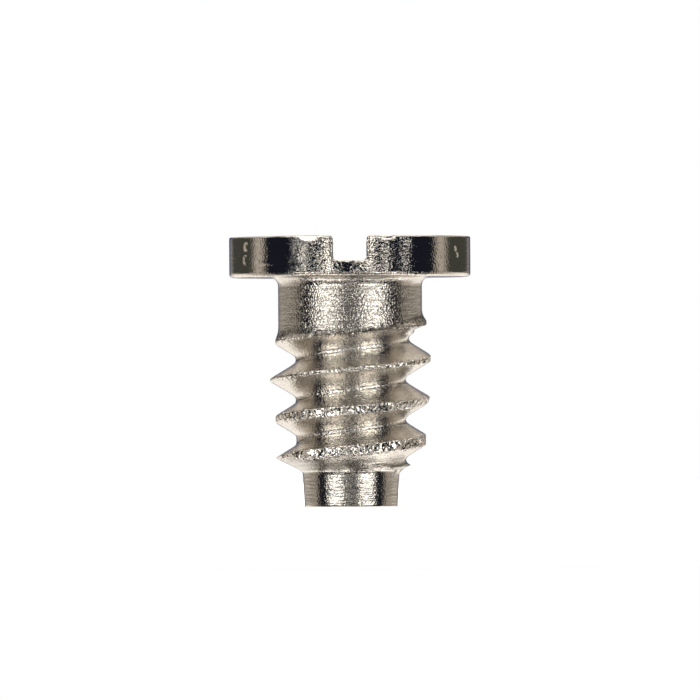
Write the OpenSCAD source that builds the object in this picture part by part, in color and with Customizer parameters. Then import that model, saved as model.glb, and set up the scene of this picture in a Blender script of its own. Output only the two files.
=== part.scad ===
// Small slotted machine screw, turned from bar with a coarse rolled thread.
// It stands on its plain point, head up, and its axis is the Z axis.

/* [Head] */
// Diameter of the head
head_d = 1.5; // [1.3:0.05:2]
// Thickness of the head
head_h = 0.25; // [0.2:0.01:0.4]
// Radius of the soft lower rim of the head
low_rim_r = 0.022; // [0.01:0.002:0.05]
// Radius that takes the sharpness off the upper rim
top_rim_r = 0.008; // [0.004:0.002:0.02]

/* [Slot] */
// Width of the driver slot
slot_w = 0.21; // [0.1:0.01:0.3]
// Depth of the driver slot
slot_depth = 0.155; // [0.08:0.005:0.18]
// Radius in the two bottom corners of the slot
slot_corner_r = 0.028; // [0.01:0.002:0.04]
// Radius of the slot's upper edges
slot_edge_r = 0.022; // [0.006:0.002:0.03]

/* [Neck] */
// Diameter of the plain neck
neck_d = 0.895; // [0.84:0.005:0.92]
// Length of the neck, from the thread's shoulder to the head
neck_len = 0.385; // [0.25:0.005:0.8]
// Fillet where the neck meets the head
neck_fillet_r = 0.053; // [0.053:0.001:0.08]
// Radius of the hollow sweep from the neck out to the thread
shoulder_r = 0.165; // [0.1:0.005:0.25]

/* [Thread] */
// Diameter over the full crests
thread_d = 1.0; // [0.97:0.005:1.02]
// Diameter over the lower crests at both ends of the thread
lead_d = 0.935; // [0.925:0.005:0.96]
// Diameter at the bottom of the groove
root_d = 0.675; // [0.66:0.005:0.74]
// Rise of the thread in one turn
pitch = 0.25; // [0.24:0.005:0.27]
// Angle between the two flanks of the groove
thread_angle = 60; // [55:1:62]
// Width of the flat at the bottom of the groove
root_w = 0.04; // [0.02:0.002:0.044]
// Length of the threaded part, from the point's cone to the neck
thread_len = 0.82; // [0.7:0.01:1.5]
// Length of the stretch with full crests
full_len = 0.245; // [0.1:0.005:0.3]
// Length over which the crests rise or fall at each end of that stretch
crest_ramp = 0.1; // [0.06:0.01:0.14]
// Width of the first crest's land, where the thread meets the neck
first_land = 0.032; // [0.01:0.002:0.05]
// Turn of the thread round the axis
thread_turn = 0; // [0:5:355]
// Angle at which the groove has left the metal at the neck, from the thread's zero mark
runout_end = 130; // [60:5:170]
// Angle over which the groove leaves the metal at the neck
runout_angle = 205; // [120:5:300]

/* [Rolled lip] */
// Diameter over the lip that rolling throws up along the groove's top edge
lip_d = 0.948; // [0.92:0.002:0.97]
// Width of the lip's land
lip_land = 0.012; // [0.006:0.002:0.03]
// Height over which the lip dies out into the neck
lip_flare = 0.084; // [0.05:0.002:0.12]
// Angle over which the lip sinks back into the neck before the groove's end
lip_fade = 110; // [60:5:150]

/* [Point] */
// Diameter of the plain point where it leaves the cone
point_d = 0.6; // [0.5:0.01:0.63]
// Diameter at the flat end of the point
point_end_d = 0.577; // [0.48:0.001:0.6]
// Length of the plain point
point_len = 0.22; // [0.15:0.01:0.5]
// Slope of the cone above the point, from the horizontal
cone_slope = 26; // [15:1:45]
// Fillet where the point meets the cone
point_fillet_r = 0.03; // [0.01:0.005:0.04]

/* [Hidden] */
$fn = 96;

// Radii of the turned form
head_r = head_d / 2;
neck_r = neck_d / 2;
crest_r = thread_d / 2;
lead_r = lead_d / 2;
root_r = root_d / 2;
point_r = point_d / 2;
point_end_r = point_end_d / 2;
lip_r = lip_d / 2;

// Heights above the flat end of the point
cone_z = point_len;
thread_top_z = cone_z + thread_len;
seat_z = thread_top_z + neck_len;
top_z = seat_z + head_h;

// Short arcs take this many straight steps
arc_steps = 6;
// The thread is swept with this many sections in each turn
turn_steps = 48;
// Overlap of solids that are joined, and the step by which a surface sinks out of sight
overlap = 0.03;
sink = 0.001;

// Half of the groove's width at radius r, and the slope that gives it
flank = tan(thread_angle / 2);
function half_w(r) = root_w / 2 + (r - root_r) * flank;

// At the radius where the cutter ends, outside the crests, its turns still stay apart
cutter_share = 0.94;
cutter_r = root_r + (cutter_share * pitch / 2 - root_w / 2) / flank;
// Height of the groove's middle at angle a. Half a turn before it lifts out, its top
// edge leaves the first crest's land below the thread's top.
function groove_z(a) =
    thread_top_z - first_land - half_w(lead_r) + pitch * (a - thread_turn + 180) / 360;

// Angles, from the +X side, at which the groove starts, lifts and ends
groove_end_a = thread_turn + runout_end;
groove_lift_a = groove_end_a - runout_angle;
groove_low_z = cone_z - root_w;
groove_low_a = thread_turn - 360 * (groove_z(thread_turn) - groove_low_z) / pitch;

// How far the cutter has backed out of the metal at angle a. At the end it has cleared
// the neck and the lip.
lift_full = crest_r - root_r - 10 * sink;
function lift(a) = lift_full * pow(max(0, (a - groove_lift_a) / runout_angle), 2);

// Points of an arc about c, from angle a0 to angle a1
function arc(c, r, a0, a1) =
    [for (i = [0:arc_steps]) let (a = a0 + (a1 - a0) * i / arc_steps) c + r * [cos(a), sin(a)]];

// Outline of the turned blank, as radius and height
function blank_outline() =
    let (
        fillet_c = [
            point_r + point_fillet_r,
            cone_z - point_fillet_r * (1 - sin(cone_slope)) / cos(cone_slope)
        ],
        cone_top_z = cone_z + (lead_r - point_r) * tan(cone_slope),
        ramp_top_z = thread_top_z - crest_ramp,
        ramp_low_z = ramp_top_z - full_len,
        sweep_a = acos(1 - (lead_r - neck_r) / shoulder_r),
        sweep_z = thread_top_z + shoulder_r * sin(sweep_a)
    )
    concat(
        [[0, 0], [point_end_r, 0]],
        arc(fillet_c, point_fillet_r, 180, 90 + cone_slope),
        [
            [lead_r, cone_top_z],
            [lead_r, ramp_low_z - crest_ramp],
            [crest_r, ramp_low_z],
            [crest_r, ramp_top_z],
            [lead_r, thread_top_z - first_land]
        ],
        arc([neck_r + shoulder_r, sweep_z], shoulder_r, 180 + sweep_a, 180),
        arc([neck_r + neck_fillet_r, seat_z - neck_fillet_r], neck_fillet_r, 180, 90),
        arc([head_r - low_rim_r, seat_z + low_rim_r], low_rim_r, -90, 0),
        arc([head_r - top_rim_r, top_z - top_rim_r], top_rim_r, 0, 90),
        [[0, top_z]]
    );

module turned_blank() {
    rotate_extrude() polygon(blank_outline());
}

// Sweeps a closed section round the axis. sections holds, for each angle, the
// section's points as radius and height, in counter-clockwise order.
module helical_sweep(angles, sections) {
    n = len(sections[0]);
    last = len(angles) - 1;
    points = [
        for (i = [0:last]) for (p = sections[i])
            [p[0] * cos(angles[i]), p[0] * sin(angles[i]), p[1]]
    ];
    sides = [
        for (i = [0:last - 1]) for (j = [0:n - 1])
            let (a = i * n + j, b = i * n + (j + 1) % n)
            each [[a, b, a + n], [b, b + n, a + n]]
    ];
    ends = [[for (j = [n - 1:-1:0]) j], [for (j = [0:n - 1]) last * n + j]];
    polyhedron(points, concat(ends, sides));
}

// Angles of a sweep from a0 to a1, evenly stepped
function sweep_angles(a0, a1) =
    let (steps = ceil((a1 - a0) * turn_steps / 360))
    [for (i = [0:steps]) a0 + (a1 - a0) * i / steps];

// The groove between the crests, as the form of the cutter's path
module groove() {
    angles = sweep_angles(groove_low_a, groove_end_a);
    sections = [
        for (a = angles)
            let (z = groove_z(a), r = root_r + lift(a))
            [
                [r, z - root_w / 2],
                [cutter_r, z - half_w(cutter_r - lift(a))],
                [cutter_r, z + half_w(cutter_r - lift(a))],
                [r, z + root_w / 2]
            ]
    ];
    helical_sweep(angles, sections);
}

// The lip on the neck's side of the groove. It starts inside the first crest, ahead of the
// thread's zero mark, and sinks into the neck where the groove ends.
lip_lead = 205;
lip_start_a = thread_turn - lip_lead;
lip_fade_a = groove_end_a - lip_fade;
function lip_rise(a) =
    let (u = max(0, (a - lip_fade_a) / lip_fade))
    (lip_r - neck_r) * (1 - u * u * (3 - 2 * u)) - 2 * sink * u;

// The flare's knee, as shares of its height and of the lip's rise
knee_height = 0.35;
knee_rise = 0.36;

module rolled_lip() {
    inner_r = neck_r - overlap;
    angles = sweep_angles(lip_start_a, groove_end_a);
    sections = [
        for (a = angles)
            let (
                rise = lip_rise(a),
                low = groove_z(a) + half_w(inner_r),
                edge = groove_z(a) + half_w(lip_r) + lip_land,
                top = edge + lip_flare
            )
            [
                [inner_r, low],
                [neck_r + rise, low],
                [neck_r + rise, edge],
                [neck_r + rise * knee_rise, edge + lip_flare * knee_height],
                [neck_r - sink, top],
                [inner_r, top]
            ]
    ];
    helical_sweep(angles, sections);
}

// The slot's section below the head's top, round in both bottom corners
module slot_section() {
    overshoot = head_h;
    low_y = slot_corner_r - slot_depth;
    side_x = slot_w / 2 - slot_corner_r;
    translate([-slot_w / 2, low_y]) square([slot_w, overshoot - low_y]);
    translate([-side_x, -slot_depth]) square([2 * side_x, slot_depth]);
    for (side = [-1, 1])
        translate([side * side_x, low_y]) circle(slot_corner_r);
    slot_mouth(overshoot);
}

// The mouth, which widens between the two rounded upper edges
module slot_mouth(height) {
    edge_x = slot_w / 2 + slot_edge_r;
    edge_y = sink - slot_edge_r;
    difference() {
        translate([-edge_x, edge_y]) square([2 * edge_x, height - edge_y]);
        for (side = [-1, 1])
            translate([side * edge_x, edge_y]) circle(slot_edge_r);
    }
}

module driver_slot() {
    translate([0, 0, top_z])
        rotate([90, 0, 0])
            linear_extrude(height = 2 * head_d, center = true)
                slot_section();
}

module screw() {
    color([0.72, 0.7, 0.66])
    difference() {
        union() {
            turned_blank();
            rolled_lip();
        }
        groove();
        driver_slot();
    }
}

screw();
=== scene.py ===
"""Slotted watch movement screw, made as one fine skin in place of its solid, in a plain studio."""

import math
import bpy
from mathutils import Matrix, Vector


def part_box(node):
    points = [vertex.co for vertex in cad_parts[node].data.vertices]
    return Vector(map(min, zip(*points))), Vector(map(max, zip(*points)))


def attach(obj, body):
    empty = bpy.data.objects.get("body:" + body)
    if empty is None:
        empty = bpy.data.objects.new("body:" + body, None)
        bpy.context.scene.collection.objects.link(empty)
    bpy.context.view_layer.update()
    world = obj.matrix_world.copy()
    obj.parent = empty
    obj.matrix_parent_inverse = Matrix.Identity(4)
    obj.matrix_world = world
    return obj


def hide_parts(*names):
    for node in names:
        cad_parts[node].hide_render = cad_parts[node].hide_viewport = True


bl_info = {
    "name": "Watch Movement Screw",
    "version": (1, 0, 0),
    "blender": (4, 5, 0),
    "location": "View3D > Sidebar > Screw",
    "description": "Builds a small slotted machine screw with a rolled thread, and its studio",
    "category": "Object",
}

import bpy
import numpy as np
from bpy.props import FloatProperty, FloatVectorProperty, IntProperty, PointerProperty

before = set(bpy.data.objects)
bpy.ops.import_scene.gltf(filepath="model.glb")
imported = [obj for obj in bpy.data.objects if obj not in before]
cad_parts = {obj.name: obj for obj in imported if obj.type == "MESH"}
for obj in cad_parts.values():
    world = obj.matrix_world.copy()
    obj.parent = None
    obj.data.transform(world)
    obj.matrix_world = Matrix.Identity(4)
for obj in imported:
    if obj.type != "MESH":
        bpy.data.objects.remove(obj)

MM = 0.001
NODE = "screw"
TOP_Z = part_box(NODE)[1].z

# Each edge that wanders has a seed of its own
LOW_EDGE_SEED = 11
HIGH_EDGE_SEED = 12
LIP_SEED = 13
FOLD_SEED = 14
BURR_SEED = 31


# Sizes and colours that a user may change


def length(name, text, default, low=0.0, high=0.02):
    """A length in metres, shown with its unit."""
    return FloatProperty(
        name=name, description=text, default=default, min=low, max=high, precision=6, unit="LENGTH"
    )


def angle(name, text, degrees, low=-360.0, high=360.0):
    """An angle, given in degrees and kept in radians."""
    return FloatProperty(
        name=name,
        description=text,
        default=math.radians(degrees),
        min=math.radians(low),
        max=math.radians(high),
        subtype="ANGLE",
    )


def share(name, text, default, high=1.0):
    """A plain number from zero up."""
    return FloatProperty(name=name, description=text, default=default, min=0.0, max=high)


def whole(name, text, default, low):
    """A whole number."""
    return IntProperty(name=name, description=text, default=default, min=low)


def colour(name, text, default):
    """A linear colour."""
    return FloatVectorProperty(
        name=name, description=text, default=default, size=3, min=0.0, max=20.0, subtype="COLOR"
    )


class ScrewSizes(bpy.types.PropertyGroup):
    """Sizes of the screw and softness of its edges."""

    top_z: length("Overall length", "From the flat end of the point to the top of the head", TOP_Z)
    head_d: length("Head diameter", "Diameter of the head", 1.5 * MM)
    head_h: length("Head thickness", "Thickness of the head", 0.25 * MM)
    low_rim_r: length("Lower rim", "Radius of the soft lower rim of the head", 0.022 * MM)
    top_rim_r: length("Upper rim", "Radius of the upper rim of the head", 0.008 * MM)
    slot_w: length("Slot width", "Width of the driver slot", 0.21 * MM)
    slot_depth: length("Slot depth", "Depth of the driver slot", 0.155 * MM)
    slot_corner_r: length("Slot corners", "Radius in the bottom corners of the slot", 0.028 * MM)
    slot_edge_r: length("Slot edges", "Radius of the slot's upper edges", 0.022 * MM)
    slot_end_r: length("Slot ends", "Radius where the slot breaks through the rim", 0.012 * MM)
    neck_d: length("Neck diameter", "Diameter of the plain neck", 0.895 * MM)
    neck_len: length("Neck length", "From the thread's shoulder to the head", 0.385 * MM)
    neck_fillet_r: length("Neck fillet", "Fillet where the neck meets the head", 0.053 * MM)
    shoulder_r: length("Shoulder", "Radius of the sweep from the neck out to the thread", 0.165 * MM)
    thread_d: length("Thread diameter", "Diameter over the full crests", 1.0 * MM)
    lead_d: length("End crests", "Diameter over the lower crests at both ends", 0.935 * MM)
    root_d: length("Root diameter", "Diameter at the bottom of the groove", 0.675 * MM)
    pitch: length("Pitch", "Rise of the thread in one turn", 0.25 * MM)
    thread_angle: angle("Thread angle", "Angle between the two flanks of the groove", 60.0)
    root_w: length("Root width", "Width of the flat at the bottom of the groove", 0.04 * MM)
    root_soft: length("Root softness", "How far the corners of the root are rounded", 0.008 * MM)
    root_hollow: length("Root hollow", "How round the bottom of the groove is", 0.016 * MM)
    thread_len: length("Thread length", "From the point's cone to the neck", 0.82 * MM)
    full_len: length("Full crests", "Length of the stretch with full crests", 0.245 * MM)
    crest_ramp: length("Crest ramp", "Length over which the crests rise or fall", 0.1 * MM)
    first_land: length("First land", "Width of the first crest's land at the neck", 0.032 * MM)
    crest_edge: length("Crest edges", "How far the edges of the crests are rounded", 0.009 * MM)
    runout_end: angle("Run-out end", "Angle at which the groove has left the metal", 130.0)
    runout_angle: angle("Run-out", "Angle over which the groove leaves the metal", 205.0)
    lip_d: length("Lip diameter", "Diameter over the rolled lip", 0.948 * MM)
    lip_land: length("Lip land", "Width of the lip's land", 0.012 * MM)
    lip_flare: length("Lip flare", "Height over which the lip dies out into the neck", 0.084 * MM)
    lip_lead: angle("Lip start", "Angle before the thread's zero mark at which the lip starts", 205.0)
    lip_fade: angle("Lip fade", "Angle over which the lip sinks back into the neck", 110.0)
    point_d: length("Point diameter", "Diameter of the plain point at the cone", 0.6 * MM)
    point_end_d: length("Point end", "Diameter at the flat end of the point", 0.577 * MM)
    cone_slope: angle("Cone slope", "Slope of the cone above the point", 26.0)
    point_fillet_r: length("Point fillet", "Fillet where the point meets the cone", 0.03 * MM)


class ScrewWear(bpy.types.PropertyGroup):
    """Marks of rolling, turning and handling."""

    crest_rag: length("Ragged crests", "How far the edges of the crests wander", 0.005 * MM)
    crest_dent: length("Crest folds", "Depth of the folds in the crests' lands", 0.0025 * MM)
    lip_rag: length("Ragged lip", "How far the edge of the rolled lip wanders", 0.004 * MM)
    wide_side: length("Wide side", "How much the groove widens on its wider side", 0.005 * MM)
    wide_turn: length("Wide turn", "How much more it widens there in the third turn", 0.012 * MM)
    lip_hollow: length("Lip hollow", "How far the groove bites under the rolled lip", 0.02 * MM)
    nick_depth: length("Nick depth", "Depth of the nicks in the head's rim", 0.010 * MM)
    worn_depth: length("Worn edge", "How far the upper rim is worn back by a driver", 0.008 * MM)
    scratch_depth: length("Scratch depth", "Depth of the scratch along the head's rim", 0.002 * MM)
    burr: length("Slot burr", "How far the slot's edges wander", 0.003 * MM)


class ScrewMesh(bpy.types.PropertyGroup):
    """Fineness of the skin."""

    side_columns: whole("Side columns", "Columns round each half of the head, in fours", 200, 40)
    floor_columns: whole("Floor columns", "Columns across half of the slot's floor", 7, 3)
    corner_columns: whole("Corner columns", "Columns round one bottom corner of the slot", 5, 3)
    flank_rows: whole("Flank rows", "Rows up one flank of the thread", 8, 3)
    land_rows: whole("Land rows", "Rows across one crest", 5, 2)
    rim_step: length("Rim step", "Height of one row on the head's rim", 0.009 * MM)
    edge_rows: whole("Edge rows", "Rows round a softened edge", 3, 2)


class SteelFinish(bpy.types.PropertyGroup):
    """Colours and texture of the metal."""

    tint: colour("Steel", "Colour of the plated steel", (0.76, 0.735, 0.69))
    dark: colour("Dirt", "Colour of the darker film in the pits", (0.16, 0.15, 0.15))
    roughness: share("Roughness", "Roughness of the polished parts", 0.075)
    satin: share("Satin", "Roughness of the rolled flanks", 0.085)
    grain: share("Grain", "Steepness of the fine relief all over the screw", 0.11)
    crest_per_mm: share("Crest facets", "Facets along a millimetre of a crest", 30.0, 1000.0)
    grain_per_mm: share("Grain size", "Grains along a millimetre", 80.0, 1000.0)
    stain: colour("Stain", "Colour of the specks on the rolled flanks", (0.6, 0.54, 0.46))
    film: colour("Film", "Colour of the dull film, which is thickest on the neck", (0.33, 0.32, 0.3))
    rim_lean: angle("Rim lean", "How far the head's rim leans up, as its reflections show", 15.0)
    lines_per_mm: share("Turning lines", "Turning lines along a millimetre", 85.0, 1000.0)


class StudioLook(bpy.types.PropertyGroup):
    """Camera, floor and light."""

    picture_w: length("Picture width", "Width of the picture at the screw's axis", 4.354 * MM)
    camera_far: length("Camera distance", "From the camera to the screw's axis", 70.0 * MM, high=1.0)
    camera_z: length("Camera height", "Height of the camera above the floor", 0.5 * MM)
    aim_x: length("Aim across", "Place of the picture's middle across the screw", -0.005 * MM, low=-0.01)
    aim_z: length("Aim height", "Place of the picture's middle above the floor", 0.973 * MM)
    roll: angle("Roll", "Turn of the picture about the line of sight", 0.35)
    floor_size: length("Floor size", "Half of the floor's width", 30.0 * MM, high=1.0)
    floor_tint: colour("Floor", "Colour of the floor", (0.92, 0.92, 0.92))
    floor_lamp: share("Floor lamp", "Light of the large lamp that only the floor takes", 2.4, 10.0)
    backdrop: colour("Backdrop", "Light of the white paper behind", (1.0, 1.0, 1.0))
    softbox: colour("Softboxes", "Light of the softboxes and of the glints round them", (4.6, 4.45, 4.15))
    camera_side: colour("Camera side", "Light from round the camera", (0.33, 0.319, 0.293))
    near_gap: colour("Level gap", "Light from beside each softbox, on the level", (0.03, 0.031, 0.035))
    gap: colour("Dark gap", "Light from above and below the softboxes", (0.012, 0.014, 0.022))
    side_card: colour("Side cards", "Light of the warm cards at both sides", (0.54, 0.475, 0.405))
    rear: colour("Rear corners", "Light from the corners behind, above the cards", (0.066, 0.067, 0.055))
    far: colour("Far end", "Light from straight behind, on the level and above", (0.06, 0.075, 0.14))
    table: colour("Table", "Light thrown up by the table behind", (1.15, 1.08, 1.0))
    lamps: colour("Lamps", "Light of the lamps overhead and of the table's spots", (2.4, 2.25, 2.08))
    unlit: colour("Unlit", "Light from between the lamps", (0.03, 0.03, 0.03))


# Form of the screw below its head


def smoothstep(u):
    """From none at nought to all at one, with no kink."""
    u = np.clip(u, 0.0, 1.0)
    return u * u * (3 - 2 * u)


def fade(value, none_at, all_at):
    """From none at the one value to all at the other."""
    return smoothstep((value - none_at) / (all_at - none_at))


def hump(value, middle, width):
    """A smooth hump, one high, about a middle."""
    return np.exp(-(((value - middle) / width) ** 2))


def soft_min(a, b, width):
    """The lesser of two radii, with the corner between them rounded over that width."""
    h = np.clip(0.5 + 0.5 * (b - a) / width, 0.0, 1.0)
    return b + (a - b) * h - width * h * (1 - h)


def arc(cx, cy, r, a0, a1, steps=12):
    """Points of an arc about (cx, cy), from angle a0 to angle a1 in degrees."""
    t = np.radians(np.linspace(a0, a1, steps + 1))
    return np.column_stack((cx + r * np.cos(t), cy + r * np.sin(t)))


class Form:
    """The screw's surface as radii over the angle about its axis and the height."""

    def __init__(self, s, wear):
        self.s = s
        self.wear = wear
        self.seat_z = s.top_z - s.head_h
        self.thread_top_z = self.seat_z - s.neck_len
        self.cone_z = self.thread_top_z - s.thread_len
        self.head_r = s.head_d / 2
        self.neck_r = s.neck_d / 2
        self.crest_r = s.thread_d / 2
        self.lead_r = s.lead_d / 2
        self.root_r = s.root_d / 2
        self.lip_r = s.lip_d / 2
        self.flank = math.tan(s.thread_angle / 2)
        self.blank_z, self.blank_r = self.outline()

    def outline(self):
        """Heights and radii of the turned blank, from its flat end to the fillet under the head."""
        s = self.s
        point_r = s.point_d / 2
        slope = math.degrees(s.cone_slope)
        fillet_drop = s.point_fillet_r * (1 - math.sin(s.cone_slope)) / math.cos(s.cone_slope)
        cone_top_z = self.cone_z + (self.lead_r - point_r) * math.tan(s.cone_slope)
        ramp_top_z = self.thread_top_z - s.crest_ramp
        ramp_low_z = ramp_top_z - s.full_len
        sweep = math.degrees(math.acos(1 - (self.lead_r - self.neck_r) / s.shoulder_r))
        sweep_z = self.thread_top_z + s.shoulder_r * math.sin(math.radians(sweep))
        points = np.vstack(
            (
                [(s.point_end_d / 2, 0.0)],
                arc(
                    point_r + s.point_fillet_r,
                    self.cone_z - fillet_drop,
                    s.point_fillet_r,
                    180,
                    90 + slope,
                ),
                [
                    (self.lead_r, cone_top_z),
                    (self.lead_r, ramp_low_z - s.crest_ramp),
                    (self.crest_r, ramp_low_z),
                    (self.crest_r, ramp_top_z),
                    (self.lead_r, self.thread_top_z - s.first_land),
                ],
                arc(self.neck_r + s.shoulder_r, sweep_z, s.shoulder_r, 180 + sweep, 180),
                [(self.neck_r, self.seat_z - s.neck_fillet_r)],
            )
        )
        return points[:, 1], points[:, 0]

    def half_w(self, r):
        """Half of the groove's width at radius r."""
        return self.s.root_w / 2 + (r - self.root_r) * self.flank

    def groove_z(self, a):
        """Height of the groove's middle at angle a, which counts on through the turns."""
        s = self.s
        first = self.thread_top_z - s.first_land - self.half_w(self.lead_r)
        return first + s.pitch * (a + math.pi) / (2 * math.pi)

    def lift(self, a):
        """How far the groove has backed out of the metal at angle a."""
        s = self.s
        # At its end the groove stands this far inside the crests, clear of neck and lip
        inside = 0.01 * MM
        full = self.crest_r - self.root_r - inside
        return full * (np.maximum(0.0, a - s.runout_end + s.runout_angle) / s.runout_angle) ** 2

    def blank(self, z):
        """Radius of the turned blank at height z, with its corners softened a little."""
        soft = 0.003 * MM
        return sum(np.interp(z + d, self.blank_z, self.blank_r) for d in (-soft, 0, soft)) / 3

    def lip_edge(self, a):
        """Height of the lip's upper edge at angle a. Its land is narrow on the near and far sides."""
        least = 0.15
        land = self.s.lip_land * (least + (1 - least) * np.cos(a) ** 2)
        return self.groove_z(a) + self.half_w(self.lip_r) + land

    def on_lip(self, a, z):
        """Whether the rolled lip lies at angle a and height z."""
        s = self.s
        return (a > -s.lip_lead) & (a < s.runout_end) & (z > self.groove_z(a))

    def lip(self, a, z, rag):
        """Radius of the rolled lip on the neck's side of the groove at angle a."""
        s = self.s
        # It rises within a radian and sinks back before the groove's end
        grown = smoothstep(a + s.lip_lead)
        left = fade(a, s.runout_end, s.runout_end - s.lip_fade)
        rise = (self.lip_r - self.neck_r) * grown * left + rag
        # Its flare is short on the near and far sides
        least = 0.05
        flare = s.lip_flare * (least + (1 - least) * np.cos(a) ** 4)
        u = np.clip((z - self.lip_edge(a)) / flare, 0.0, 1.0)
        hollowness = 2.4
        radius = self.neck_r + np.maximum(rise, 0.0) * (1 - u) ** hollowness
        return np.where(self.on_lip(a, z), radius, 0.0)

    def widening(self, a, up):
        """How much wider than its true form rolling has left the groove, up from its middle."""
        wear = self.wear
        third_turn = -5 * math.pi
        reach = 0.6
        bite_up = 0.065 * MM
        bite_width = 0.018 * MM
        wide = wear.wide_side * (1 - np.cos(a)) / 2 + wear.wide_turn * hump(a, third_turn, reach)
        return wide + wear.lip_hollow * hump(a, 0.0, reach) * hump(up, bite_up, bite_width)

    def groove(self, a, z):
        """Radius of the groove's surface at angle a, with the unevenness that rolling has left."""
        s = self.s
        up = z - self.groove_z(a)
        x = np.sqrt(up * up + s.root_hollow**2) - s.root_w / 2 - self.widening(a, up)
        hinge = (x + np.sqrt(x * x + s.root_soft**2)) / 2
        return self.root_r + self.lift(a) + hinge / self.flank


class Rag:
    """Smooth seeded waves round the axis, for edges that wander as rolled ones do."""

    def __init__(self, seed, waves, count=48):
        draw = np.random.default_rng(seed)
        self.rate = draw.uniform(waves / 5, waves, count)
        self.phase = draw.uniform(0, 2 * math.pi, count)
        # Their number and usual size are divided out, so that the sum is about one high
        self.size = draw.uniform(0.3, 1.0, count) / math.sqrt(count / 2) / 0.7

    def __call__(self, a):
        return (self.size * np.sin(a[..., None] * self.rate + self.phase)).sum(-1)


class Folds:
    """Seeded creases over angle and height, such as rolling presses into the crests."""

    def __init__(self, seed, waves, per_mm, count=36):
        draw = np.random.default_rng(seed)
        self.rate = draw.uniform(waves / 5, waves, count)
        self.climb = draw.uniform(-per_mm, per_mm, count) / MM
        self.phase = draw.uniform(0, 2 * math.pi, count)
        # Their number and usual size are divided out, so that the sum is about one high
        self.size = draw.uniform(0.4, 1.0, count) / math.sqrt(count / 2) / 0.72

    def __call__(self, a, z):
        total = np.zeros(np.broadcast(a, z).shape)
        for rate, climb, phase, size in zip(self.rate, self.climb, self.phase, self.size):
            total += size * np.sin(a * rate + z * climb + phase)
        return np.abs(total)


# The skin


# Shares that the skin's points carry for the material
PARTS = ("crest", "flank", "rim", "film", "turned", "root")
# How thick the dull film is on the point and on the head's rim
POINT_FILM = 0.85
RIM_FILM = 0.3


class Skin:
    """Collects the points and faces of the mesh, with each point's finish."""

    def __init__(self):
        self.points = []
        self.finish = []
        self.faces = []
        self.flats = []
        self.count = 0

    def add(self, points, **finish):
        """Adds points, an array of any shape ending in 3, and returns their numbers in that shape."""
        points = np.asarray(points, float)
        shape = points.shape[:-1]
        total = int(np.prod(shape))
        parts = [np.broadcast_to(finish.get(part, 0.0), shape).reshape(-1) for part in PARTS]
        self.points.append(points.reshape(-1, 3))
        self.finish.append(np.column_stack(parts))
        numbers = np.arange(self.count, self.count + total).reshape(shape)
        self.count += total
        return numbers

    def sheet(self, numbers, closed=False):
        """Faces over a grid of numbers. Its rows run along the first direction."""
        if closed:
            numbers = np.concatenate((numbers, numbers[:, :1]), axis=1)
        low, high = numbers[:-1], numbers[1:]
        quads = np.stack((low[:, :-1], low[:, 1:], high[:, 1:], high[:, :-1]), -1).reshape(-1, 4)
        for quad in quads.tolist():
            face = [p for k, p in enumerate(quad) if p != quad[k - 1]]
            if len(face) > 2:
                self.faces.append(face)

    def flat(self, numbers):
        """One flat face, which keeps its own normal and no lean."""
        self.flats.append(len(self.faces))
        self.faces.append([int(n) for n in numbers])

    def mesh(self, name):
        """The finished mesh, its unused points left out."""
        points = np.vstack(self.points)
        finish = np.vstack(self.finish)
        used = np.zeros(len(points), bool)
        used[np.unique(np.concatenate([np.array(f) for f in self.faces]))] = True
        number = np.cumsum(used) - 1
        mesh = bpy.data.meshes.new(name)
        mesh.from_pydata(points[used].tolist(), [], [number[f].tolist() for f in self.faces])
        for k, part in enumerate(PARTS):
            layer = mesh.attributes.new(part, "FLOAT", "POINT")
            layer.data.foreach_set("value", finish[used, k].astype(np.float32))
        # The lean is the same all over a face, and nought where the face is hardly rim
        rim = finish[:, PARTS.index("rim")]
        least = 0.5
        lean = np.array([rim[face].max() for face in self.faces], np.float32)
        lean[lean < least] = 0.0
        lean[self.flats] = 0.0
        mesh.attributes.new("lean", "FLOAT", "FACE").data.foreach_set("value", lean)
        smooth = np.ones(len(self.faces), bool)
        smooth[self.flats] = False
        mesh.polygons.foreach_set("use_smooth", smooth)
        mesh.validate()
        sharp_from = 50
        mesh.set_sharp_from_angle(angle=math.radians(sharp_from))
        return mesh


class SlotPath:
    """The slot's section and the columns where it breaks through the rim."""

    def __init__(self, form, fine):
        s = form.s
        self.half = s.slot_w / 2
        self.floor_z = s.top_z - s.slot_depth
        self.wall_z = self.floor_z + s.slot_corner_r
        self.edge_r = s.slot_end_r
        self.inner_r = form.head_r - s.slot_end_r
        count = fine.floor_columns
        flat = self.half - s.slot_corner_r
        floor_x = np.linspace(0, flat, count, endpoint=False)
        turn = np.radians(np.linspace(90, 0, fine.corner_columns + 1))
        # From the middle of the floor to the foot of the wall, with the way into the metal
        x = np.append(floor_x, flat + s.slot_corner_r * np.cos(turn))
        z = np.append(np.full(count, self.floor_z), self.wall_z - s.slot_corner_r * np.sin(turn))
        nx = np.append(np.zeros(count), np.cos(turn))
        nz = np.append(np.full(count, -1.0), -np.sin(turn))
        self.x, self.z, self.nx, self.nz = (
            np.concatenate((m * v[:0:-1], v)) for m, v in ((-1, x), (1, z), (-1, nx), (1, nz))
        )

    def turn(self):
        """Angles of the rim's columns from the slot's middle, across one mouth of the slot."""
        return np.arcsin((self.x + self.edge_r * self.nx) / self.inner_r)


def columns(path, fine):
    """Angles of all columns, once round from the middle of the slot's far mouth."""
    mouth = path.turn()
    half = len(mouth) // 2
    side = np.linspace(mouth[-1], math.pi - mouth[-1], fine.side_columns + 1)
    back, front = math.pi / 2, 3 * math.pi / 2
    return np.concatenate(
        (
            back + mouth[half:-1],
            back + side[:-1],
            front + mouth[:-1],
            front + side[:-1],
            back + 2 * math.pi + mouth[: half + 1],
        )
    )


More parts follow.
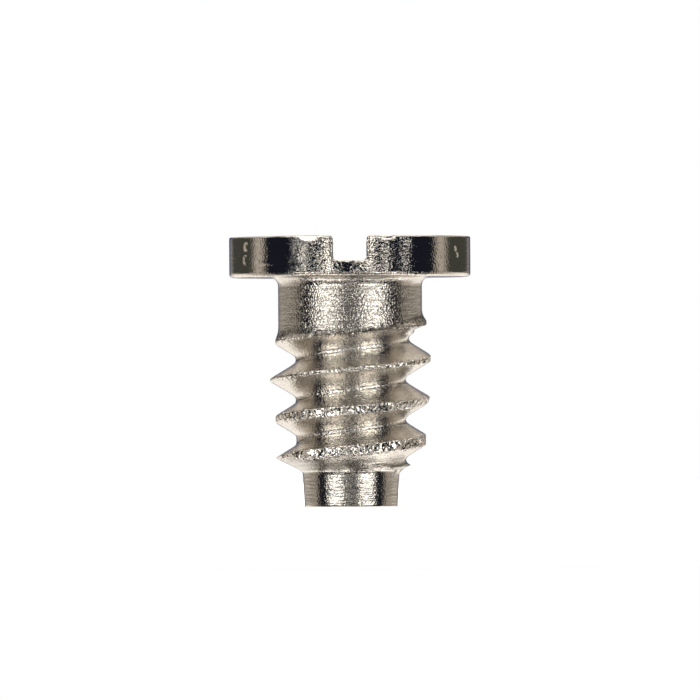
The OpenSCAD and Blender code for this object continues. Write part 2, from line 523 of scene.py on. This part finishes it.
def on_ring(r, turn, z):
    """Points at radius r, angle turn and height z."""
    r, turn, z = np.broadcast_arrays(r, turn, z)
    return np.stack((r * np.cos(turn), r * np.sin(turn), z), -1)


def thread_rows(form, wear, fine, turn):
    """Heights of the rows in one pitch above the groove, at each angle."""
    s = form.s
    rag_low = Rag(LOW_EDGE_SEED, waves=60)
    rag_high = Rag(HIGH_EDGE_SEED, waves=60)
    soft = 0.004 * MM
    least = 0.05 * MM
    above = turn + 2 * math.pi
    z0, z1 = form.groove_z(turn), form.groove_z(above)
    low, high = z0 + form.half_w(form.lead_r), z1 - form.half_w(form.lead_r)
    # A few rounds find where the groove meets the blank or the lip
    rounds = 8
    for _ in range(rounds):
        reach = np.maximum(form.blank(low), form.lip(turn, low, 0.0)) - form.root_r - form.lift(turn)
        wide = s.root_w / 2 + form.widening(turn, low - z0)
        low = z0 + np.maximum(least, wide + reach * form.flank)
        reach = form.blank(high) - form.root_r - form.lift(above)
        wide = s.root_w / 2 + form.widening(above, high - z1)
        high = z1 - np.maximum(least, wide + reach * form.flank)
    # The land's edges wander by no more than a share of its width
    room = np.maximum(high - low, 0.0)
    most = 0.3 * room
    low = low + np.clip(wear.crest_rag * rag_low(turn), -most, most)
    high = high + np.clip(wear.crest_rag * rag_high(turn), -most, most)
    soft = np.minimum(soft, room / 5)
    rows = [z0]
    stops = (
        (z0 + s.root_w / 2, 1),
        (low - soft, fine.flank_rows),
        (low + soft, 2),
        (high - soft, fine.land_rows),
        (high + soft, 2),
        (z1 - s.root_w / 2, fine.flank_rows),
        (z1, 1),
    )
    for stop, count in stops:
        start = rows[-1]
        rows.extend(start + (stop - start) * (k + 1) / count for k in range(count))
    return np.array(rows[:-1])


def crest_share(form, a, z, depth):
    """How much of a ragged crest lies at angle a and height z, where the groove is so deep."""
    shallow, deep = 0.004 * MM, 0.014 * MM
    on_land = fade(depth, deep, shallow)
    full = fade(form.blank(z), form.lead_r - 0.004 * MM, form.lead_r - 0.001 * MM)
    edge_z = form.lip_edge(a)
    soft = 0.004 * MM
    return on_land * np.maximum(full, form.on_lip(a, z) * fade(z, edge_z + soft, edge_z))


def stem_finish(form, a, z, depth):
    """Shares of flank, turned metal, film and root at angle a and height z."""
    soft = 0.012 * MM
    wide = 0.03 * MM
    root_w = 0.016 * MM
    cone_z, neck_z = form.cone_z, form.thread_top_z
    cone_top_z = cone_z + (form.lead_r - form.s.point_d / 2) * math.tan(form.s.cone_slope)
    cone = fade(z, cone_z, cone_z + soft) * fade(z, cone_top_z, cone_top_z - soft / 2)
    flank = np.maximum(fade(depth, 0.0, soft), 0.8 * cone)
    turned = np.maximum(cone, fade(z, cone_z, cone_z - 0.01 * MM))
    on_neck = fade(z, neck_z, neck_z + wide)
    up = np.minimum(np.abs(z - form.groove_z(a)), np.abs(z - form.groove_z(a + 2 * math.pi)))
    return {
        "flank": flank,
        "turned": turned,
        "film": on_neck * (1 - flank) + POINT_FILM * turned,
        "root": hump(up, 0.0, root_w) * fade(depth, 0.0, wide),
    }


def stem(form, wear, fine, skin, turn, low_z, high_z):
    """The screw between two heights, as rows that follow the thread, and its two end rings."""
    s = form.s
    first = math.ceil((form.groove_z(turn[0]) - low_z) / s.pitch) + 1
    bands = []
    ways = []
    for back in range(first, -2, -1):
        way = turn - 2 * math.pi * back
        band = thread_rows(form, wear, fine, way)
        bands.append(band)
        ways.append(np.broadcast_to(way, band.shape))
    z = np.vstack(bands)
    a = np.vstack(ways)
    per_pitch = len(bands[0])
    snap = 0.0015 * MM
    z = np.where(z < low_z + snap, low_z, np.where(z > high_z - snap, high_z, z))
    solid = np.maximum(form.blank(z), form.lip(a, z, wear.lip_rag * Rag(LIP_SEED, waves=80)(a)))
    cut = np.minimum(form.groove(a, z), form.groove(a + 2 * math.pi, z))
    depth = solid - cut
    crest = crest_share(form, a, z, depth)
    folds = Folds(FOLD_SEED, waves=85, per_mm=110)(a, z)
    deepest = 2.0
    solid = solid - wear.crest_dent * crest * np.minimum(folds, deepest)
    grid = on_ring(soft_min(solid, cut, s.crest_edge), turn, z)
    numbers = skin.add(grid, crest=crest, **stem_finish(form, a, z, depth))
    # Rows cut off at either end share that end's ring
    low_ring, high_ring = numbers[0].copy(), numbers[-1].copy()
    numbers = np.where(z <= low_z, low_ring, np.where(z >= high_z, high_ring, numbers))
    # One turn on, each row meets the row a pitch higher
    numbers[:, -1] = np.append(numbers[per_pitch:, 0], np.full(per_pitch, high_ring[0]))
    skin.sheet(numbers)
    return low_ring[:-1], high_ring[:-1]


def rings(skin, turn, outline, **finish):
    """Rings round the axis for each radius and height of an outline."""
    r, z = np.array(outline).T
    return skin.add(on_ring(r[:, None], turn[None, :], z[:, None]), **finish)


def point_end(form, skin, turn, top_ring, top_z):
    """The plain point below the thread, down to its flat end."""
    end_r = form.s.point_end_d / 2
    soft = 0.004 * MM
    heights = np.linspace(0, top_z, 9)[:-1]
    wall = [(form.blank(z), z) for z in heights[1:]]
    edge = [(end_r - soft, 0.0), (end_r - 0.3 * soft, 0.3 * soft), (end_r, soft)]
    flat = [(end_r * part, 0.0) for part in (0.02, 0.35, 0.7)]
    grid = rings(skin, turn, flat + edge + wall, turned=1.0, film=POINT_FILM)
    middle = skin.add([(0.0, 0.0, 0.0)])
    centre = np.full(len(turn), middle[0])
    skin.sheet(np.vstack((centre, grid, top_ring)), closed=True)


def nicks(form, wear, turn, z):
    """Depth of the marks in the head's rim at angle turn and height z."""
    side = turn - 3 * math.pi / 2
    depth = np.zeros(np.broadcast(turn, z).shape)
    # Angle from the near side, height above the head's seat, half width, half height, share of
    # the depth, and how much deeper it is to its left than to its right
    marks = (
        (-58.2, 0.188, 0.034, 0.026, 0.85, 1.0),
        (-59.2, 0.106, 0.030, 0.029, 0.8, 1.0),
        (60.6, 0.168, 0.010, 0.011, 0.8, 0.0),
        (62.6, 0.131, 0.012, 0.010, 0.8, 0.0),
        (118.0, 0.11, 0.016, 0.018, 0.6, 0.0),
    )
    for degrees, up, wide, tall, size, skew in marks:
        across = (side - math.radians(degrees)) * form.head_r / (wide * MM)
        along = (z - form.seat_z - up * MM) / (tall * MM)
        floor = 1 - skew * (1 + np.clip(across, -1, 1)) / 2
        depth = depth + wear.nick_depth * size * floor * np.exp(-((across**2 + along**2) ** 2))
    # Angle from the near side, half width in degrees, and how far down the wear reaches
    worn_places = ((-20.0, 4.5, 0.04), (12.0, 4.0, 0.014), (18.5, 3.0, 0.03))
    for degrees, wide, tall in worn_places:
        across = (side - math.radians(degrees)) / math.radians(wide)
        low_z = form.s.top_z - tall * MM
        worn = fade(z, low_z, low_z + 1.4 * tall * MM)
        depth = depth + wear.worn_depth * worn * np.exp(-(across**4))
    # The scratch runs along the rim from one angle to the other and fades at both ends
    scratch_z = form.seat_z + 0.083 * MM
    scratch_w = 0.008 * MM
    start, stop = math.radians(-52), math.radians(-20)
    reach = fade(side, start, start + 0.1) * fade(side, stop, stop - 0.15)
    return depth + wear.scratch_depth * reach * hump(z, scratch_z, scratch_w)


def under_head(form, skin, turn, low_ring, low_z):
    """From the neck out under the head, as far as the soft lower rim."""
    s = form.s
    fillet_z = form.seat_z - s.neck_fillet_r
    neck = [(form.neck_r, z) for z in np.linspace(low_z, fillet_z, 6)[1:-1]]
    fillet = arc(form.neck_r + s.neck_fillet_r, fillet_z, s.neck_fillet_r, 180, 90, 7)
    seat_r = form.neck_r + s.neck_fillet_r
    rim_r = form.head_r - s.low_rim_r
    seat = [(seat_r + (rim_r - seat_r) * k / 8, form.seat_z) for k in range(1, 8)]
    plain = rings(skin, turn, neck, film=1.0)
    bend = rings(skin, turn, fillet, flank=0.3, film=0.25)
    grid = rings(skin, turn, seat, flank=0.7)
    round_rim = arc(rim_r, form.seat_z + s.low_rim_r, s.low_rim_r, -90, 0, 6)
    rim = rings(skin, turn, round_rim, flank=0.8)
    skin.sheet(np.vstack((low_ring, plain, bend, grid, rim)), closed=True)
    return rim[-1]


class Head:
    """The head's rim, its slot and its top, above the soft lower rim."""

    def __init__(self, form, wear, fine, skin, turn):
        self.form = form
        self.wear = wear
        self.fine = fine
        self.skin = skin
        self.turn = turn
        self.path = SlotPath(form, fine)
        total = len(turn)
        across = len(self.path.x)
        half = across // 2
        side = fine.side_columns
        # Places of the columns: the far mouth is split by the seam
        self.left = np.arange(half, half + side + 1)
        self.near = np.arange(half + side, half + side + across)
        self.right = np.arange(half + side + across - 1, half + side + across + side) % total
        self.far = np.arange(total - half, total + half + 1) % total
        # The rim goes all the way round up to this far below the slot's ends
        below = 0.01 * MM
        self.shelf_z = self.path.floor_z - self.path.edge_r - below
        self.levels()

    def levels(self):
        """Levels above the slot's bottom corners: plain wall, then the two rounded upper edges."""
        s, path, fine = self.form.s, self.path, self.fine
        shoulder_z = s.top_z - s.slot_edge_r
        count = max(2, round((shoulder_z - path.wall_z) / fine.rim_step))
        wall = np.linspace(path.wall_z, shoulder_z, count + 1)[1:]
        bend = np.radians(np.linspace(0, 90, 2 * fine.edge_rows + 1))[1:]
        slot_bend = shoulder_z + s.slot_edge_r * np.sin(bend)
        rim_bend = s.top_z - s.top_rim_r * (1 - np.sin(bend[1::2]))
        self.level_z = np.unique(np.round(np.concatenate((wall, slot_bend, rim_bend)) / MM, 5)) * MM
        self.level_in = self.set_back(s.top_rim_r)
        self.corner_x = path.half + path.edge_r + self.set_back(s.slot_edge_r) - self.level_in

    def set_back(self, r):
        """How far an upper edge of radius r stands back at each level."""
        up = np.clip(self.level_z - (self.form.s.top_z - r), 0, r)
        return r - np.sqrt(r * r - up * up)

    def rim(self, turn, z, level_in=0.0):
        """Points of the turned rim, with its marks."""
        r = self.form.head_r - level_in - nicks(self.form, self.wear, turn, z)
        return self.skin.add(on_ring(r, turn, z), rim=1.0, film=RIM_FILM)

    def build(self, low_ring):
        """All of the head, from the ring at the top of the soft lower rim."""
        foot = self.collar(self.band(low_ring))
        tops, slot_ends = {}, {}
        for end, place in ((-1, self.near), (1, self.far[::-1])):
            tops[end], slot_ends[end] = self.mouth(end, foot[place])
        slot_grid = self.slot(slot_ends)
        self.half(self.left, foot, tops[1][-1], tops[-1][-1], slot_grid[::-1, 0])
        self.half(self.right, foot, tops[-1][1], tops[1][1], slot_grid[:, -1])

    def band(self, low_ring):
        """The rim below the slot's floor, all the way round."""
        low_z = self.form.seat_z + self.form.s.low_rim_r
        count = max(2, round((self.shelf_z - low_z) / self.fine.rim_step))
        heights = np.linspace(low_z, self.shelf_z, count + 1)[1:]
        band = self.rim(self.turn[None, :], heights[:, None])
        self.skin.sheet(np.vstack((low_ring, band)), closed=True)
        return band[-1]

    def collar(self, ring):
        """The rim beside the slot's mouths, up to where the slot breaks through."""
        path, rows = self.path, self.fine.corner_columns
        top_z = np.empty(len(self.turn))
        mouth_z = path.z + path.edge_r * path.nz
        top_z[self.near] = mouth_z
        top_z[self.far] = mouth_z[::-1]
        top_z[self.left] = top_z[self.right] = path.wall_z
        steps = np.arange(1, rows + 1)[:, None] / rows
        collar = self.rim(self.turn[None, :], self.shelf_z + (top_z[None, :] - self.shelf_z) * steps)
        self.skin.sheet(np.vstack((ring, collar)), closed=True)
        return collar[-1]

    def edge_points(self, cx, cz, nx, nz, end, sx, inward):
        """Points round the softened edge at (cx, cz), from the slot's side to the rim's."""
        path = self.path
        turns = self.fine.edge_rows + 1
        cy = end * np.sqrt(path.inner_r**2 - cx**2)
        out = np.stack((cx, cy, np.zeros_like(cx)), -1) / path.inner_r
        into = np.stack((-nx, np.zeros_like(nx), -nz), -1)
        t = (np.arange(turns + 1) / turns)[None, :, None]
        gap = np.arccos(np.clip((out * into).sum(-1), -1, 1))[:, None, None]
        way = (np.sin((1 - t) * gap) * into[:, None, :] + np.sin(t * gap) * out[:, None, :]) / np.sin(gap)
        centre = np.stack((cx, cy, cz), -1)[:, None, :]
        # The burr's waves run on along the edge, and each edge has its own
        up_rate, across_rate = 9 / MM, 7 / MM
        along = up_rate * cz + across_rate * cx + end + sx
        burr = Rag(BURR_SEED, waves=40)(along)[:, None, None]
        wander = 1 + self.wear.burr / path.edge_r * burr * np.sin(t * math.pi)
        return centre + way * (path.edge_r - inward)[:, None, None] * wander

    def mouth(self, end, foot):
        """The softened edge round one mouth of the slot, as a strip that starts at the left."""
        path, level_z = self.path, self.level_z
        low, across = len(level_z), len(path.x)
        cx, cz = path.x + path.edge_r * path.nx, path.z + path.edge_r * path.nz
        u = self.edge_points(cx, cz, path.nx, path.nz, end, 0, np.zeros(across))
        flat = np.zeros(low)
        left, right = (
            self.edge_points(sx * self.corner_x, level_z, flat + sx, flat, end, sx, self.level_in)
            for sx in (-1, 1)
        )
        numbers = self.skin.add(np.concatenate((left[::-1], u, right)), rim=0.7, film=RIM_FILM)
        numbers[low : low + across, -1] = foot
        self.skin.sheet(numbers if end < 0 else numbers[:, ::-1])
        return {-1: numbers[:low][::-1], 1: numbers[low + across :]}, numbers[:, 0]

    def slot(self, ends):
        """The slot's walls and floor, from the near mouth to the far one."""
        spans = self.fine.side_columns // 4
        points = np.vstack(self.skin.points)
        start, stop = points[ends[-1]], points[ends[1]]
        along = (np.arange(1, spans) / spans)[:, None, None]
        inner = self.skin.add(start[None] + (stop - start)[None] * along, rim=0.4)
        grid = np.vstack((ends[-1][None], inner, ends[1][None]))
        self.skin.sheet(grid)
        return grid

    def half(self, place, foot, first, last, edge):
        """The rim of one half above the foot, from its first corner to its last, and its flat top."""
        side = self.fine.side_columns
        # The columns beside the slot make room for its wider mouth
        gap = np.arccos(self.corner_x / self.path.inner_r)
        moved_columns = 24
        near_end = np.maximum(0, 1 - np.arange(side + 1) / moved_columns) ** 2
        shift = (near_end - near_end[::-1])[None, :] * (gap - gap[0])[:, None]
        grid = self.rim(
            self.turn[place][None, :] - shift, self.level_z[:, None], self.level_in[:, None]
        )
        grid[:, 0] = first[:, -1]
        grid[:, -1] = last[:, -1]
        self.skin.sheet(np.vstack((foot[place][None], grid)))
        self.skin.flat(first[-1])
        self.skin.flat(last[-1][::-1])
        for k in range(side // 4):
            self.skin.flat([*grid[-1][4 * k : 4 * k + 5], edge[k + 1], edge[k]])


def screw_skin(form, wear, fine):
    """The whole surface of the screw, as one closed skin."""
    skin = Skin()
    turn = columns(SlotPath(form, fine), fine)
    low_z = form.cone_z / 2
    # The thread's rows reach nearly a pitch above the run-out, and plain rings go on from there
    below = 0.01 * MM
    high_z = form.groove_z(turn[-1]) - below
    low_ring, high_ring = stem(form, wear, fine, skin, turn, low_z, high_z)
    turn = turn[:-1]
    point_end(form, skin, turn, low_ring, low_z)
    rim_ring = under_head(form, skin, turn, high_ring, high_z)
    Head(form, wear, fine, skin, turn).build(rim_ring)
    return skin


# Materials


class Nodes:
    """Builds a node tree in short lines."""

    def __init__(self, tree):
        self.tree = tree
        tree.nodes.clear()

    def add(self, kind, inputs=(), **settings):
        """A new node with its inputs and settings."""
        node = self.tree.nodes.new(kind)
        for key, value in settings.items():
            setattr(node, key, value)
        for key, value in dict(inputs).items():
            self.put(node, key, value)
        return node

    def put(self, node, key, value):
        """Links an input to a socket, or sets its value."""
        socket = node.inputs[key]
        if isinstance(value, bpy.types.NodeSocket):
            self.tree.links.new(value, socket)
        else:
            socket.default_value = value

    def math(self, operation, a, b=0.0, c=0.0, clamp=False):
        """The result of one operation on up to three numbers."""
        node = self.add("ShaderNodeMath", {0: a, 1: b, 2: c}, operation=operation, use_clamp=clamp)
        return node.outputs[0]

    def weighed(self, base, parts, **weights):
        """A number plus each named part times its weight."""
        for name, weight in weights.items():
            base = self.math("MULTIPLY_ADD", parts[name], weight, base)
        return base

    def scaled(self, vector, factor):
        """A vector times another one, part by part."""
        node = self.add("ShaderNodeVectorMath", {0: vector, 1: factor}, operation="MULTIPLY")
        return node.outputs[0]

    def mix(self, factor, a, b):
        """A colour between two others."""
        node = self.add("ShaderNodeMix", {0: factor, 6: a, 7: b}, data_type="RGBA")
        return node.outputs[2]

    def span(self, value, low, high, to_low=0.0, to_high=1.0):
        """A number moved from one range to another and kept within it."""
        node = self.add(
            "ShaderNodeMapRange", {0: value, 1: low, 2: high, 3: to_low, 4: to_high}, clamp=True
        )
        return node.outputs[0]

    def sweep(self, turn, low, high, to_low=0.0, to_high=1.0):
        """A span over a turn that is a share of 180 degrees, with its places in degrees."""
        return self.span(turn, low / 180, high / 180, to_low, to_high)

    def tinted(self, light, factor):
        """The same light at another strength."""
        return self.scaled(light, (factor,) * 3)

    def ramp(self, value, stops):
        """Colours that change along a value, with their places in degrees out of 180."""
        node = self.add("ShaderNodeValToRGB", {0: value})
        made = node.color_ramp.elements
        while len(made) < len(stops):
            made.new(1.0)
        for stop, (degrees, light) in zip(made, stops):
            stop.position = degrees / 180.0
            stop.color = (*light, 1.0)
        return node.outputs[0]

    def edge(self, value, low, high):
        """From none at the one angle to all at the other, both in degrees."""
        return self.span(value, math.radians(low), math.radians(high))

    def noise(self, vector, scale, detail=2.0, roughness=0.5):
        """The value of a noise texture."""
        inputs = {"Vector": vector, "Scale": scale, "Detail": detail, "Roughness": roughness}
        return self.add("ShaderNodeTexNoise", inputs).outputs["Fac"]


def steel_relief(n, finish, mm, parts, speckle, lines):
    """The steel's normal: its grain, the crests' facets, the turning lines and the rim's lean."""
    # The facets lie askew, so that their rows don't follow the crests
    tilt = (0.2, 0.65, 0.3)
    askew = n.add("ShaderNodeVectorRotate", {0: mm, "Rotation": tilt}, rotation_type="EULER_XYZ")
    facets = n.add(
        "ShaderNodeTexVoronoi",
        {"Vector": askew.outputs[0], "Scale": finish.crest_per_mm},
        distance="CHEBYCHEV",
    ).outputs["Distance"]
    facet_depth = n.math("MULTIPLY", parts["crest"], 3.0)
    facets = n.math("MULTIPLY", facets, facet_depth)

    # Each part of the height is a size over the texture's own scale, so it sets a slope. The
    # middle of each noise is nought, so that a part that fades in leaves no step.
    grain_depth = n.weighed(
        0.6, parts, rim=-0.45, film=0.45, flank=0.15, crest=-0.5, turned=-0.45, root=0.4
    )
    grain = n.math("MULTIPLY", speckle, grain_depth)
    furrow_depth = n.weighed(0.35, parts, rim=-0.35, flank=-0.1, turned=0.45)
    furrows = n.math("MULTIPLY", n.math("SUBTRACT", lines, 0.5), furrow_depth)
    height = n.math("ADD", n.math("ADD", grain, facets), furrows)

    # The rim leans by a height that grows up the screw
    fine = finish.grain / finish.crest_per_mm
    upright = n.add("ShaderNodeSeparateXYZ", {0: mm}).outputs[2]
    lean = n.add("ShaderNodeAttribute", attribute_name="lean").outputs["Fac"]
    lean = n.math("MULTIPLY", n.math("MULTIPLY", upright, lean), -math.tan(finish.rim_lean) / fine)
    height = n.math("ADD", height, lean)
    bump = n.add("ShaderNodeBump", {"Strength": 1.0, "Distance": fine * MM, "Height": height})
    return bump.outputs[0]


def steel_tint(n, finish, parts, speckle, patch, lines):
    """The steel's colour: bright plate, dirt in its pits, specks on the flanks and a dull film."""
    pits = n.span(speckle, 0.12, 0.24)
    dirt = n.math("MULTIPLY", pits, n.span(patch, 0.4, 0.6, 0.1, 0.6))
    tint = n.mix(dirt, (*finish.tint, 1.0), (*finish.dark, 1.0))
    stain = n.math("MULTIPLY", parts["flank"], n.span(speckle, -0.02, 0.14, 0.0, 0.55))
    tint = n.mix(stain, tint, (*finish.stain, 1.0))
    dull = n.math("MULTIPLY", parts["film"], n.span(lines, 0.4, 0.6, 0.5, 0.85))
    return n.mix(dull, tint, (*finish.film, 1.0))


def steel_material(finish):
    """Nickelled steel: speckled and bright where it was turned, satin on the rolled flanks."""
    material = bpy.data.materials.new("screw_steel")
    material.use_nodes = True
    n = Nodes(material.node_tree)
    place = n.add("ShaderNodeTexCoord").outputs["Object"]
    mm = n.scaled(place, (1 / MM,) * 3)
    parts = {part: n.add("ShaderNodeAttribute", attribute_name=part).outputs["Fac"] for part in PARTS}
    speckle = n.math("SUBTRACT", n.noise(mm, finish.grain_per_mm, 1.0, 0.6), 0.5)
    patch_per_mm = 9.0
    patch = n.noise(mm, patch_per_mm)
    # The turning lines are long and wander slowly round the screw
    round_per_mm = 5.0
    stretched = n.scaled(mm, (round_per_mm, round_per_mm, finish.lines_per_mm))
    lines = n.noise(stretched, 1.0, 2.0, 0.6)
    satin = finish.satin - finish.roughness
    rough = n.weighed(finish.roughness, parts, flank=satin, film=0.02, rim=-0.04)
    rough = n.math("ADD", rough, n.span(patch, 0.35, 0.7, -0.03, 0.05))
    shader = n.add(
        "ShaderNodeBsdfPrincipled",
        {
            "Base Color": steel_tint(n, finish, parts, speckle, patch, lines),
            "Metallic": 1.0,
            "Roughness": rough,
            "Normal": steel_relief(n, finish, mm, parts, speckle, lines),
        },
    )
    n.add("ShaderNodeOutputMaterial", {"Surface": shader.outputs[0]})
    return material


def floor_material(tint):
    """Plain pale floor."""
    material = bpy.data.materials.new("studio_floor")
    material.use_nodes = True
    n = Nodes(material.node_tree)
    shader = n.add("ShaderNodeBsdfPrincipled", {"Base Color": (*tint, 1.0), "Roughness": 0.9})
    n.add("ShaderNodeOutputMaterial", {"Surface": shader.outputs[0]})
    return material


def studio_tiers(n, look, turn):
    """Three tiers of light round the screw: level with it, above it and below it."""
    level = (
        (20.0, look.camera_side),
        (26.0, look.softbox),
        (54.0, look.softbox),
        (60.0, look.near_gap),
        (88.0, look.near_gap),
        (94.0, look.side_card),
        (158.0, look.side_card),
        (166.0, look.far),
    )
    above = (
        (94.0, look.gap),
        (97.0, look.side_card),
        (106.0, look.side_card),
        (112.0, look.rear),
        (156.0, look.rear),
        (164.0, look.far),
    )
    below = (
        (88.0, look.gap),
        (94.0, look.side_card),
        (118.0, look.side_card),
        (128.0, look.table),
    )
    return [n.ramp(turn, stops) for stops in (level, above, below)]


def studio_world(look):
    """The studio round the screw: softboxes beside the camera, warm cards, dim corners and lamps."""
    world = bpy.data.worlds.new("studio")
    bpy.context.scene.world = world
    world.use_nodes = True
    n = Nodes(world.node_tree)
    way = n.add("ShaderNodeTexCoord").outputs["Generated"]
    x, y, z = n.add("ShaderNodeSeparateXYZ", {0: way}).outputs
    # Angle round from the camera's side, the same to the left and to the right
    turn = n.math("ARCTAN2", n.math("ABSOLUTE", x), n.math("MULTIPLY", y, -1.0))
    turn = n.math("DIVIDE", turn, math.pi)
    # Angle up from the level, and the same without its sign
    lean = n.math("ARCSINE", z)
    off_level = n.math("ABSOLUTE", lean)
    level, above, below = studio_tiers(n, look, turn)

    # The warm cards stand higher towards the back
    side = n.math("MULTIPLY", n.edge(lean, 20, 24), n.sweep(turn, 94, 97))
    back = n.math("MULTIPLY", n.edge(lean, 12, 15), n.sweep(turn, 140, 160))
    above = n.mix(n.math("MAXIMUM", side, back), above, (*look.side_card, 1.0))
    other = n.mix(n.edge(lean, -2, 2), below, above)

    # Small bright glints, rarer right beside the camera and towards the sides
    glints_per_way = 18.0
    rarer = n.math("ADD", n.sweep(turn, 50, 78, 0.0, 0.24), n.sweep(turn, 22, 4, 0.0, 0.06))
    glints = n.math("SUBTRACT", n.noise(way, glints_per_way, 0.0), rarer)
    glints = n.math("MULTIPLY", n.span(glints, 0.66, 0.68), n.edge(off_level, 42, 36))
    other = n.mix(glints, other, (*look.softbox, 1.0))
    light = n.mix(n.edge(off_level, 5.5, 7.5), level, other)

    # Lamps high overhead, and their dimmer spots on the table below
    lamps_per_way = 3.1
    lamps = n.span(n.noise(way, lamps_per_way, 0.0), 0.48, 0.54)
    lamps = n.mix(lamps, (*look.unlit, 1.0), (*look.lamps, 1.0))
    lamps = n.mix(n.edge(lean, 0, -10), lamps, n.tinted(lamps, 0.85))
    outer = n.math("ADD", n.edge(lean, 36, 42), n.edge(lean, -40, -46), clamp=True)
    light = n.mix(outer, light, lamps)

    # The picture itself shows plain paper behind the screw
    seen = n.add("ShaderNodeLightPath").outputs["Is Camera Ray"]
    light = n.mix(seen, light, (*look.backdrop, 1.0))
    shader = n.add("ShaderNodeBackground", {"Color": light, "Strength": 1.0})
    n.add("ShaderNodeOutputWorld", {"Surface": shader.outputs[0]})


# Operators


def link(name, mesh):
    """A new object in the scene."""
    made = bpy.data.objects.new(name, mesh)
    bpy.context.scene.collection.objects.link(made)
    return made


class WATCHSCREW_OT_screw(bpy.types.Operator):
    """Build the screw as one closed skin and give it its steel"""

    bl_idname = "watchscrew.screw"
    bl_label = "Build screw"

    def execute(self, context):
        scene = context.scene
        form = Form(scene.screw_sizes, scene.screw_wear)
        skin = screw_skin(form, scene.screw_wear, scene.screw_mesh)
        piece = link("screw_body", skin.mesh("screw_body"))
        piece.data.materials.append(steel_material(scene.screw_finish))
        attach(piece, "root")
        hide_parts(NODE)
        return {"FINISHED"}


class WATCHSCREW_OT_studio(bpy.types.Operator):
    """Lay the floor and set up the light and the camera"""

    bl_idname = "watchscrew.studio"
    bl_label = "Build studio"

    def execute(self, context):
        look = context.scene.screw_studio
        self.floor(look)
        self.floor_lamp(look)
        studio_world(look)
        self.camera(context.scene, look)
        context.scene.view_settings.view_transform = "Standard"
        return {"FINISHED"}

    def floor(self, look):
        size = look.floor_size
        mesh = bpy.data.meshes.new("studio_floor")
        corners = [(-size, -size, 0), (size, -size, 0), (size, size, 0), (-size, size, 0)]
        mesh.from_pydata(corners, [], [(0, 1, 2, 3)])
        mesh.materials.append(floor_material(look.floor_tint))
        floor = link("studio_floor", mesh)
        floor.visible_glossy = False

    def floor_lamp(self, look):
        data = bpy.data.lights.new("floor_lamp", "AREA")
        data.size = 0.12
        data.energy = look.floor_lamp * math.pi * data.size**2
        lamp = link("floor_lamp", data)
        lamp.location = (0, 0, data.size / 2)
        lamp.visible_glossy = lamp.visible_camera = False

    def camera(self, scene, look):
        data = bpy.data.cameras.new("camera")
        camera = link("camera", data)
        camera.location = (look.aim_x, -look.camera_far, look.camera_z)
        pitch = math.atan((look.aim_z - look.camera_z) / look.camera_far)
        camera.rotation_euler = (math.pi / 2 + pitch, look.roll, 0)
        data.lens = data.sensor_width * look.camera_far / look.picture_w
        data.clip_start, data.clip_end = look.camera_far / 100, look.camera_far * 20
        scene.camera = camera


class WATCHSCREW_PT_panel(bpy.types.Panel):
    """Sizes, finish and studio of the screw"""

    bl_idname = "WATCHSCREW_PT_panel"
    bl_label = "Watch Movement Screw"
    bl_space_type = "VIEW_3D"
    bl_region_type = "UI"
    bl_category = "Screw"

    def draw(self, context):
        scene = context.scene
        layout = self.layout
        for group in GROUPS:
            box = layout.box()
            box.label(text=group.__doc__.rstrip("."))
            for name in group.__annotations__:
                box.prop(getattr(scene, GROUPS[group]), name)
        layout.operator(WATCHSCREW_OT_screw.bl_idname)
        layout.operator(WATCHSCREW_OT_studio.bl_idname)


GROUPS = {
    ScrewSizes: "screw_sizes",
    ScrewWear: "screw_wear",
    ScrewMesh: "screw_mesh",
    SteelFinish: "screw_finish",
    StudioLook: "screw_studio",
}
CLASSES = (*GROUPS, WATCHSCREW_OT_screw, WATCHSCREW_OT_studio, WATCHSCREW_PT_panel)


def register():
    """Makes the classes known, and gives the scene one property for each group."""
    for made in CLASSES:
        bpy.utils.register_class(made)
    for group, name in GROUPS.items():
        setattr(bpy.types.Scene, name, PointerProperty(type=group))


def unregister():
    """Takes the properties and classes away again."""
    for name in GROUPS.values():
        delattr(bpy.types.Scene, name)
    for made in reversed(CLASSES):
        bpy.utils.unregister_class(made)


def main():
    """Builds the screw and its studio."""
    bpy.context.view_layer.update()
    register()
    bpy.ops.watchscrew.screw()
    bpy.ops.watchscrew.studio()


if __name__ == "__main__":
    main()
